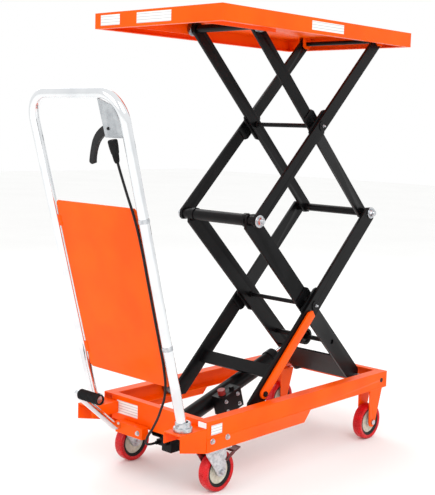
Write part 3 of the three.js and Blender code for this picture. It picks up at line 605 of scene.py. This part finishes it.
# ---------- studio ----------
@dataclass
class Studio:
    """A plain pale floor, soft light all round and the camera."""

    lens_mm: float = 71.54
    place_m: tuple[float, float, float] = (-2.2136, -2.0282, 1.0406)
    heading_deg: float = 42.85
    tilt_deg: float = -6.82
    roll_deg: float = 1.64
    shift: tuple[float, float] = (-0.0006, -0.0065)
    floor_m: float = 30.0

    def build_camera(self) -> None:
        """Sets the camera: heading from +X towards +Y, tilt above level, roll clockwise."""
        heading, tilt, roll = (math.radians(a) for a in (self.heading_deg, self.tilt_deg, self.roll_deg))
        ahead = Vector(
            (math.cos(heading) * math.cos(tilt), math.sin(heading) * math.cos(tilt), math.sin(tilt))
        )
        level = Vector((math.sin(heading), -math.cos(heading), 0))
        up = level.cross(ahead)
        across = level * math.cos(roll) + up * math.sin(roll)
        upright = up * math.cos(roll) - level * math.sin(roll)
        data = bpy.data.cameras.new("camera")
        data.lens = self.lens_mm
        data.sensor_width = 36.0
        data.shift_x, data.shift_y = self.shift
        camera = bpy.data.objects.new("camera", data)
        turned = Matrix((across, upright, -ahead)).transposed().to_4x4()
        camera.matrix_world = Matrix.Translation(Vector(self.place_m)) @ turned
        bpy.context.scene.collection.objects.link(camera)
        bpy.context.scene.camera = camera

    def build_floor(self) -> None:
        """Lays the floor."""
        bm = bmesh.new()
        bmesh.ops.create_grid(bm, x_segments=1, y_segments=1, size=self.floor_m / 2)
        mesh = bpy.data.meshes.new("floor")
        bm.to_mesh(mesh)
        bm.free()
        floor = bpy.data.objects.new("floor", mesh)
        mesh.materials.append(FLOOR_PAINT.build())
        bpy.context.scene.collection.objects.link(floor)

    def build_light(self) -> None:
        """Hangs three soft boxes in a white room."""
        world = bpy.data.worlds.new("white_room")
        world.use_nodes = True
        sky = world.node_tree.nodes["Background"]
        sky.inputs["Color"].default_value = (1, 1, 1, 1)
        sky.inputs["Strength"].default_value = 1.0
        bpy.context.scene.world = world
        bpy.context.scene.view_settings.view_transform = "Standard"
        boxes = {
            "key": ((-1.6, -3.2, 3.2), 2.2, 58.0),
            "fill": ((-3.4, 0.6, 1.8), 2.0, 22.0),
            "back": ((1.4, 2.8, 3.0), 2.2, 30.0),
        }
        for name, (at, size, watts) in boxes.items():
            data = bpy.data.lights.new(name, "AREA")
            data.size, data.energy = size, watts
            lamp = bpy.data.objects.new(name, data)
            aim = (Vector((0, 0, 0.6)) - Vector(at)).to_track_quat("-Z", "Y")
            lamp.matrix_world = Matrix.Translation(Vector(at)) @ aim.to_matrix().to_4x4()
            bpy.context.scene.collection.objects.link(lamp)

    def build(self) -> None:
        """Builds the whole studio."""
        self.build_camera()
        self.build_floor()
        self.build_light()


# ---------- running gear ----------
@dataclass
class Wheel:
    """A polyurethane tyre cast on a dark ring, with a pale web and a zinc bearing boss."""

    word: str
    tyre: tuple = (
        (46.8, -14.5), (55, -16.2), (58, -15), (59.6, -11.5), (60, -7), (60, 7), (59.6, 11.5), (58, 15),
        (55, 16.2), (46.8, 14.5),
    )
    ring: tuple = (
        (37.5, -10), (40, -12.6), (46, -13.6), (47, -13), (47, 13), (46, 13.6), (40, 12.6), (37.5, 10),
    )
    web: tuple = ((14, -7.5), (22, -5), (33, -5), (38, -9), (38, 9), (33, 5), (22, 5), (14, 7.5))
    boss: tuple = ((6.7, -16.6), (12.5, -16.6), (14.5, -14.5), (14.5, 14.5), (12.5, 16.6), (6.7, 16.6))

    def build(self) -> None:
        """Turns the four rings and mounts them on the wheel's body."""
        at, axis = centre(self.word), Vector((0, 1, 0))
        parts = (
            ("tyre", self.tyre, CAST_TREAD, Slot.TREAD, 96),
            ("ring", self.ring, MOULDED_NYLON, Slot.PLASTIC, 72),
            ("web", self.web, PALE_HUB, Slot.ZINC, 48),
            ("boss", self.boss, ZINC_PLATE, Slot.ZINC, 40),
        )
        for part, outline, finish, slot, steps in parts:
            bm = bmesh.new()
            spin_profile(bm, outline, at, axis, steps)
            stands_for = [self.word] if part == "tyre" else []
            place(f"{self.word}_{part}", bm, [finish], self.word, slot, stands_for)


@dataclass
class Caster:
    """A swivel fork with its ball race, its plate and its brake tread."""

    frame: dict
    side: Side

    def build(self) -> None:
        """Dresses the plate, the fork and the brake."""
        word = self.side.word
        kingpin = centre(f"{word}_caster_plate")
        Skin(self.frame, f"{word}_caster_plate", "chassis", Slot.ZINC).build()
        Skin(self.frame, f"{word}_caster_fork", f"{word}_caster", Slot.ZINC, edge_mm=0.9).build()
        Skin(self.frame, f"{word}_brake_pedal", f"{word}_brake", Slot.ORANGE, DARK_RED_ENAMEL, 0.6).build()
        race = bmesh.new()
        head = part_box(f"{word}_caster_fork")[1].z
        under = Vector((kingpin.x, kingpin.y, head - 5 * MM))
        down = Vector((0, 0, -1))
        spin_profile(race, [(8, 0), (31, -2), (32, 1), (30, 4), (22, 6), (8, 6)], under, down)
        place(f"{word}_caster_race", race, [ZINC_PLATE], f"{word}_caster", Slot.ZINC)


# ---------- chassis ----------
@dataclass
class Chassis:
    """Folded rails, cross members, rear corners, forks and handle collars."""

    frame: dict
    rail_bolts_mm: tuple = ((22.0, 168.0), (84.0, 168.0))
    # The black disc in each rail's round hole is painted shade: it stands in for the dark inside of the hole.
    plug_setback: float = 0.032
    plug_height: float = 0.1985
    plug_depth: float = 0.0028
    plug_outline: tuple = ((0.4, 0), (7.8, 0), (7.8, 1.6), (0.4, 1.6))
    rear_label_y: tuple[float, float] = (0.066, 0.158)
    rear_label_z: tuple[float, float] = (0.172, 0.212)
    rail_label_x: tuple[float, float] = (0.016, 0.060)
    rail_label_z: tuple[float, float] = (0.186, 0.214)
    collar: tuple = (
        (14.6, 0), (26, 0), (27, 1), (27, 10.5), (25.5, 12), (22, 12.4), (22, 24.5), (20.5, 26), (14.6, 26),
    )

    def build_side(self, side: Side) -> None:
        """Dresses one side."""
        word = side.word
        Skin(self.frame, f"{word}_side_rail", "chassis", Slot.ORANGE, edge_mm=0.9).build()
        Skin(self.frame, f"{word}_front_fork", "chassis", Slot.ORANGE, edge_mm=0.8).build()
        Skin(self.frame, f"{word}_rear_corner", "chassis", Slot.ORANGE, edge_mm=0.9).build()
        Skin(self.frame, f"{word}_front_axle", "chassis", Slot.ZINC, edge_mm=0.5).build()
        low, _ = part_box(f"{word}_handle_collar")
        middle = centre(f"{word}_handle_collar")
        ring = bmesh.new()
        spin_profile(ring, self.collar, Vector((middle.x, middle.y, low.z)), Vector((0, 0, 1)))
        add_hex(ring, Vector((middle.x - 22 * MM, middle.y, low.z + 19 * MM)), Vector((-1, 0, 0)), 7.5, 2.0)
        place(
            f"{word}_handle_collar_turned", ring, [ZINC_PLATE], "chassis", Slot.ZINC,
            [f"{word}_handle_collar"],
        )
        rail_low, rail_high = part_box(f"{word}_side_rail")
        face = rail_high.y if side is Side.LEFT else rail_low.y
        # A black disc sunk just inside the rail's round hole, painted shade for the dark inside of the hole.
        hole_shade_disc = bmesh.new()
        seat = Vector((rail_high.x - self.plug_setback, face - side.sign * self.plug_depth, self.plug_height))
        spin_profile(hole_shade_disc, self.plug_outline, seat, Vector((0, side.sign, 0)), 32)
        place(f"{word}_rail_hole_painted_shade_disc", hole_shade_disc, [MOULDED_NYLON], "chassis", Slot.PLASTIC)
        bolts = bmesh.new()
        for along, height in self.rail_bolts_mm:
            at = Vector((rail_low.x + along * MM, face, height * MM))
            add_hex(bolts, at, Vector((0, side.sign, 0)), 13, 4.5)
        place(f"{word}_rail_bolts", bolts, [ZINC_PLATE], "chassis", Slot.ZINC)

    def build(self) -> None:
        """Dresses the chassis."""
        for side in Side:
            self.build_side(side)
        Skin(self.frame, "front_cross_member", "chassis", Slot.ORANGE, edge_mm=0.9).build()
        Skin(self.frame, "rear_cross_member", "chassis", Slot.ORANGE, edge_mm=0.9).build()
        Skin(self.frame, "ram_bracket", "chassis", Slot.BLACK, edge_mm=0.8).build()
        Skin(self.frame, "base_pivot_shaft", "chassis", Slot.ZINC, edge_mm=0.8).build()
        Skin(self.frame, "foot_pump", "chassis", Slot.BLACK, edge_mm=0.8).build()
        self.build_labels()

    def build_labels(self) -> None:
        """Sticks a plain label on the rear member and one on the right rail."""
        low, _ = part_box("rear_cross_member")
        rear = bmesh.new()
        (y0, y1), (z0, z1) = self.rear_label_y, self.rear_label_z
        add_box(rear, (low.x - STICKER_PROUD, y0, z0), (low.x + STICKER_SUNK, y1, z1), STICKER_ROUND_MM)
        place("rear_member_label", rear, [LABEL_PAPER], "chassis", Slot.ZINC)
        rail_low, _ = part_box("right_side_rail")
        side = bmesh.new()
        (x0, x1), (z0, z1) = self.rail_label_x, self.rail_label_z
        add_box(
            side, (rail_low.x + x0, rail_low.y - STICKER_PROUD, z0),
            (rail_low.x + x1, rail_low.y + STICKER_SUNK, z1), STICKER_ROUND_MM,
        )
        place("right_rail_label", side, [LABEL_PAPER], "chassis", Slot.ZINC)


# ---------- handle ----------
@dataclass
class Handle:
    """The bent push handle with its panel, lever bracket, trigger and release cable."""

    frame: dict
    lean_deg: float = 15.25
    half_width_mm: float = 186.0
    length_mm: float = 942.0
    foot_mm: float = 6.0
    bend_mm: float = 75.0
    radius_mm: float = 14.0
    cable_mm: float = 7.0
    cable_length_m: float = 1.02
    tab_heights_mm: tuple[float, float] = (190.0, 580.0)
    clip_heights_mm: tuple[float, float] = (609.0, 250.0)
    boot: tuple = (
        (3.7, 0), (11.5, 0), (13, 3), (12.6, 16), (10.6, 34), (9.4, 36), (7.6, 54), (5.4, 60), (3.7, 61),
    )
    leg_route_mm: tuple = (
        (-7, -131, 822), (-7, -132, 794), (-7, -135, 762), (-7, -146, 690), (-7, -160, 609), (-7, -165, 530),
        (-7, -165, 440), (-7, -165, 340), (-7, -165, 250), (-7, -164, 190),
    )
    pivot_to_middle_mm: float = 555.39
    low_route_mm: tuple = (
        (-944, -156, 322), (-922, -114, 248), (-897, -62, 188), (-886, -26, 146), (-870, -6, 121),
        (-850, 0, 113), (-825, 0, 112),
    )
    stand: Matrix = field(default_factory=Matrix)

    def __post_init__(self) -> None:
        """Finds the frame that the handle leans in, from its collar."""
        foot = Vector((centre("left_handle_collar").x, 0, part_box("left_handle_collar")[0].z))
        self.stand = Matrix.Translation(foot) @ Matrix.Rotation(-math.radians(self.lean_deg), 4, "Y")

    def on_handle(self, place_mm: Sequence[float]) -> Vector:
        """A place in the handle's leaning frame, moved into the row frame."""
        return self.stand @ (Vector(place_mm) * MM)

    def build_cable(self) -> None:
        """Lays the release cable down the leg and across to the valve."""
        route = [self.on_handle(p) for p in self.leg_route_mm]
        route += [Vector((x + self.pivot_to_middle_mm, y, z)) * MM for x, y, z in self.low_route_mm]
        data = bpy.data.curves.new("release_cable_sleeve", "CURVE")
        data.dimensions = "3D"
        data.bevel_depth = self.cable_mm / 2 * MM
        data.bevel_resolution = 4
        data.resolution_u = 10
        data.use_fill_caps = True
        spline = data.splines.new("BEZIER")
        spline.bezier_points.add(len(route) - 1)
        for point, at in zip(spline.bezier_points, route):
            point.co = at
            point.handle_left_type = point.handle_right_type = "AUTO"
        cable = bpy.data.objects.new("release_cable_sleeve", data)
        bpy.context.scene.collection.objects.link(cable)
        data.materials.append(MOULDED_NYLON.build())
        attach(cable, "chassis")
        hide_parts("release_cable")

    def build_tube(self) -> None:
        """Bends the chrome tube."""
        line = [
            (0, self.half_width_mm, self.foot_mm), (0, self.half_width_mm, self.length_mm),
            (0, -self.half_width_mm, self.length_mm), (0, -self.half_width_mm, self.foot_mm),
        ]
        bm = bent_tube([self.on_handle(p) for p in line], self.bend_mm * MM, self.radius_mm * MM, 40)
        place("handle_tube_bent", bm, [CHROME_PLATE], "chassis", Slot.CHROME, ["handle_tube"])

    def build_tabs(self) -> None:
        """Welds four tabs between the panel and the legs."""
        bm = bmesh.new()
        for side in Side:
            for height in self.tab_heights_mm:
                inner, outer = side.sign * 158 * MM, side.sign * 172.6 * MM
                add_box(
                    bm, (-0.0028, min(inner, outer), (height - 16) * MM),
                    (0.0028, max(inner, outer), (height + 16) * MM),
                    0.8, self.stand,
                )
        place("panel_weld_tabs", bm, [POWDER_COAT], "chassis", Slot.ORANGE)

    def build_clips(self) -> None:
        """Wraps two zinc clips round the right leg, and boots the cable's upper end."""
        clips = bmesh.new()
        up = (self.stand.to_3x3() @ Vector((0, 0, 1))).normalized()
        for height in self.clip_heights_mm:
            spin_profile(
                clips, [(14.1, -6), (15.1, -6), (15.1, 6), (14.1, 6)],
                self.on_handle((0, -self.half_width_mm, height)), up, 40,
            )
        place("cable_clips", clips, [ZINC_PLATE], "chassis", Slot.ZINC)
        top, below = self.on_handle(self.leg_route_mm[0]), self.on_handle(self.leg_route_mm[1])
        boot = bmesh.new()
        spin_profile(boot, self.boot, top, (below - top).normalized(), 28)
        place("cable_boot", boot, [GRIP_RUBBER], "chassis", Slot.RUBBER)

    def build(self) -> None:
        """Builds the handle, the cable first."""
        self.build_cable()
        self.build_tube()
        Skin(self.frame, "handle_panel", "chassis", Slot.ORANGE, edge_mm=0.9).build()
        Skin(self.frame, "lever_bracket", "chassis", Slot.GREY, edge_mm=0.8).build()
        Skin(self.frame, "release_trigger", "trigger", Slot.PLASTIC, edge_mm=1.6).build()
        self.build_tabs()
        self.build_clips()


# ---------- scissors ----------
@dataclass
class Scissors:
    """Black flat-bar arms with their shafts, tubes, ties, rollers and grease nipples."""

    frame: dict
    outer_face_mm: float = 157.0
    head_start_mm: float = 157.2
    washer_seat_mm: float = 157.4
    washer: tuple = ((0.4, 0), (18.5, 0), (19, 0.5), (19, 2.6), (18.4, 3.2), (0.4, 3.2))
    bolt_end: tuple = ((0.4, 12), (8, 12), (8, 16), (7, 17.4), (0.4, 17.4))
    strut_head_y: float = -0.1664

    def past_outer_face(self, at: Vector) -> bool:
        """True for metal outside the outer arms, which is bolt heads and washers."""
        return abs(at.y) > self.head_start_mm * MM

    def build_arms(self) -> None:
        """Dresses the eight arms."""
        for side in Side:
            for body in ("lower_inner", "lower_outer", "upper_outer", "upper_inner"):
                Skin(self.frame, f"{side.word}_{body}_arm", body, Slot.BLACK, edge_mm=1.0).build()

    def build_shafts(self) -> None:
        """Dresses the shafts, tubes, plate and tie."""
        Skin(self.frame, "lower_inner_plate", "lower_inner", Slot.BLACK, edge_mm=0.9).build()
        Skin(self.frame, "lower_outer_tie", "lower_outer", Slot.BLACK, edge_mm=0.9).build()
        Skin(self.frame, "ram_pin", "lower_inner", Slot.ZINC, STOVE_ENAMEL).build()
        Skin(self.frame, "lower_centre_shaft", "lower_outer", Slot.BLACK).build()
        Skin(self.frame, "upper_centre_shaft", "upper_outer", Slot.BLACK).build()
        Skin(self.frame, "upper_front_shaft", "upper_outer", Slot.BLACK).build()
        Skin(self.frame, "upper_rear_tube", "upper_inner", Slot.BLACK).build()
        heads = {"zone": self.past_outer_face, "zone_finish": ZINC_PLATE}
        Skin(self.frame, "middle_rear_tube", "lower_inner", Slot.BLACK, **heads).build()
        Skin(self.frame, "middle_front_tube", "lower_outer", Slot.BLACK, **heads).build()

    def build_nipples(self) -> None:
        """Fits end washers and grease nipples to the centre pivots."""
        for body, node in (("lower_outer", "lower_centre_shaft"), ("upper_outer", "upper_centre_shaft")):
            bm = bmesh.new()
            middle = centre(node)
            for side in Side:
                at = Vector((middle.x, side.sign * (self.outer_face_mm + 0.1) * MM, middle.z))
                out = Vector((0, side.sign, 0))
                spin_profile(bm, [(0.4, 0), (16, 0), (16, 1.8), (15, 2.6), (0.4, 2.6)], at, out, 40, 0)
                add_nipple(bm, at + out * 2.5 * MM, out, 1)
            place(f"{node}_ends", bm, [STOVE_ENAMEL, ZINC_PLATE], body, Slot.ZINC)

    def build_washers(self) -> None:
        """Adds the broad plain washers under the bolt heads of the middle pivots."""
        for body, node in (("lower_inner", "middle_rear_tube"), ("lower_outer", "middle_front_tube")):
            bm = bmesh.new()
            middle = centre(node)
            for side in Side:
                at = Vector((middle.x, side.sign * self.washer_seat_mm * MM, middle.z))
                out = Vector((0, side.sign, 0))
                spin_profile(bm, self.washer, at, out, 40)
                spin_profile(bm, self.bolt_end, at, out, 24)
            place(f"{node}_washers", bm, [ZINC_PLATE], body, Slot.ZINC)

    def build_rollers(self) -> None:
        """Dresses the four rollers."""
        for side in Side:
            for kind in ("foot_roller", "top_roller"):
                node = f"{side.word}_{kind}"
                Skin(self.frame, node, node, Slot.ROLLER, edge_mm=0.6).build()

    def build_strut(self) -> None:
        """Dresses the safety strut and its black bolt head."""
        Skin(
            self.frame, "safety_strut", "strut", Slot.ORANGE, edge_mm=0.8,
            zone=lambda at: at.y < self.strut_head_y, zone_finish=STOVE_ENAMEL,
        ).build()

    def build(self) -> None:
        """Builds the scissors."""
        self.build_arms()
        self.build_shafts()
        self.build_nipples()
        self.build_washers()
        self.build_rollers()
        self.build_strut()


# ---------- platform ----------
@dataclass
class Platform:
    """The folded table top with its plain stickers."""

    frame: dict
    rear_labels_y: tuple = ((-0.065, 0.074), (0.146, 0.229))
    side_label_x: tuple[float, float] = (0.070, 0.224)

    def build(self) -> None:
        """Dresses the tray and sticks on its labels."""
        Skin(self.frame, "table_tray", "platform", Slot.ORANGE, edge_mm=1.2).build()
        low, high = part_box("table_tray")
        labels = bmesh.new()
        for y0, y1 in self.rear_labels_y:
            add_box(
                labels, (low.x - STICKER_PROUD, y0, low.z + 0.008),
                (low.x + STICKER_SUNK, y1, high.z - 0.007), STICKER_ROUND_MM,
            )
        x0, x1 = self.side_label_x
        add_box(
            labels, (x0, low.y - STICKER_PROUD, low.z + 0.010), (x1, low.y + STICKER_SUNK, high.z - 0.009),
            STICKER_ROUND_MM,
        )
        place("table_labels", labels, [LABEL_PAPER], "platform", Slot.ZINC)


# ---------- hydraulics and foot pump ----------
@dataclass
class Hydraulics:
    """The lifting ram with its valve block, and the foot pedal that feeds it."""

    frame: dict
    tube_radius_mm: float = 11.0
    bend_mm: float = 20.0
    grip_reach: tuple[float, float] = (3.0, 88.0)
    pin_from_foot: tuple[float, float] = (0.6007, 0.18904)
    cap_above: float = 0.0302
    cap_within: float = 0.180
    eye_start: float = 0.599
    pedal_y: float = 0.114
    pedal_stub: float = 0.014
    pedal_reach: float = 0.166
    pedal_rise: float = 0.132
    pedal_end_y: float = 0.006
    ramp: Matrix = field(default_factory=Matrix)

    def __post_init__(self) -> None:
        """Finds the ram's frame: its foot, with x along it to the ram pin."""
        pin = centre("ram_pin")
        foot = Vector((pin.x - self.pin_from_foot[0], 0, pin.z - self.pin_from_foot[1]))
        tilt = math.atan2(pin.z - foot.z, pin.x - foot.x)
        self.ramp = Matrix.Translation(foot) @ Matrix.Rotation(-tilt, 4, "Y")

    def is_cap(self, at: Vector) -> bool:
        """True for the valve cap, above the block near the foot."""
        local = self.ramp.inverted() @ at
        return local.z > self.cap_above and local.x < self.cap_within

    def is_eye(self, at: Vector) -> bool:
        """True for the rod's black end eye."""
        return (self.ramp.inverted() @ at).x > self.eye_start

    def build_ram(self) -> None:
        """Dresses the barrel, rod and valve block, and bolts the block."""
        Skin(self.frame, "ram_barrel", "ram_barrel", Slot.BLACK, edge_mm=1.0).build()
        Skin(
            self.frame, "ram_rod", "ram_rod", Slot.CHROME, edge_mm=0.8,
            zone=self.is_eye, zone_finish=STOVE_ENAMEL,
        ).build()
        Skin(
            self.frame, "valve_block", "ram_barrel", Slot.BLACK, edge_mm=1.0,
            zone=self.is_cap, zone_finish=RED_CAP,
        ).build()
        bolts = bmesh.new()
        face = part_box("valve_block")[0].y
        out = Vector((0, -1, 0))
        for along, height in ((152, 14), (206, 14), (152, -20), (206, -20)):
            spot = self.ramp @ Vector((along * MM, face, height * MM))
            add_hex(bolts, spot, out, 10, 4)
        place("valve_block_bolts", bolts, [ZINC_PLATE], "ram_barrel", Slot.ZINC)

    def build_pedal(self) -> None:
        """Bends the pedal tube, ribs its grip and dresses its socket."""
        Skin(self.frame, "pedal_socket", "pedal", Slot.ORANGE, edge_mm=1.0).build()
        low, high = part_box("pedal_socket")
        start = Vector((low.x - 0.0003, self.pedal_y, high.z - 0.012))
        end_x, end_z = start.x - self.pedal_reach, start.z + self.pedal_rise
        line = [
            start, start + Vector((-self.pedal_stub, 0, 0)),
            start + Vector((-self.pedal_reach, 0, self.pedal_rise)), Vector((end_x, self.pedal_end_y, end_z)),
        ]
        tube = bent_tube(line, self.bend_mm * MM, self.tube_radius_mm * MM)
        place("pedal_tube_bent", tube, [CHROME_PLATE], "pedal", Slot.CHROME, ["pedal_tube"])
        near, far = self.grip_reach
        ribs = int((far - near - 12) / 6)
        outline = [(11.3, near), (14, near), (15.3, near + 2)]
        for rib in range(ribs):
            foot = near + 6 + rib * 6
            outline += [(15.3, foot), (14.2, foot + 1), (14.2, foot + 2.5), (15.3, foot + 3.5)]
        outline += [(15.3, far - 2), (14, far), (11.3, far)]
        grip = bmesh.new()
        spin_profile(grip, outline, Vector((end_x, 0, end_z)), Vector((0, 1, 0)), 40)
        place("pedal_grip_ribbed", grip, [GRIP_RUBBER], "pedal", Slot.RUBBER, ["pedal_grip"])
        bolt = bmesh.new()
        add_hex(bolt, Vector((low.x, 0.030, (low.z + high.z) / 2)), Vector((-1, 0, 0)), 12, 4.5)
        place("pedal_socket_bolt", bolt, [ZINC_PLATE], "pedal", Slot.ZINC)

    def build(self) -> None:
        """Builds the hydraulics."""
        self.build_ram()
        self.build_pedal()


def main() -> None:
    logging.basicConfig(level=logging.INFO, format="%(name)s: %(message)s")
    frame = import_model()
    Studio().build()
    Handle(frame).build()
    Chassis(frame).build()
    Scissors(frame).build()
    Platform(frame).build()
    Hydraulics(frame).build()
    for side in Side:
        Caster(frame, side).build()
        for end in ("front", "rear"):
            Wheel(f"{side.word}_{end}_wheel").build()


if __name__ == "__main__":
    main()
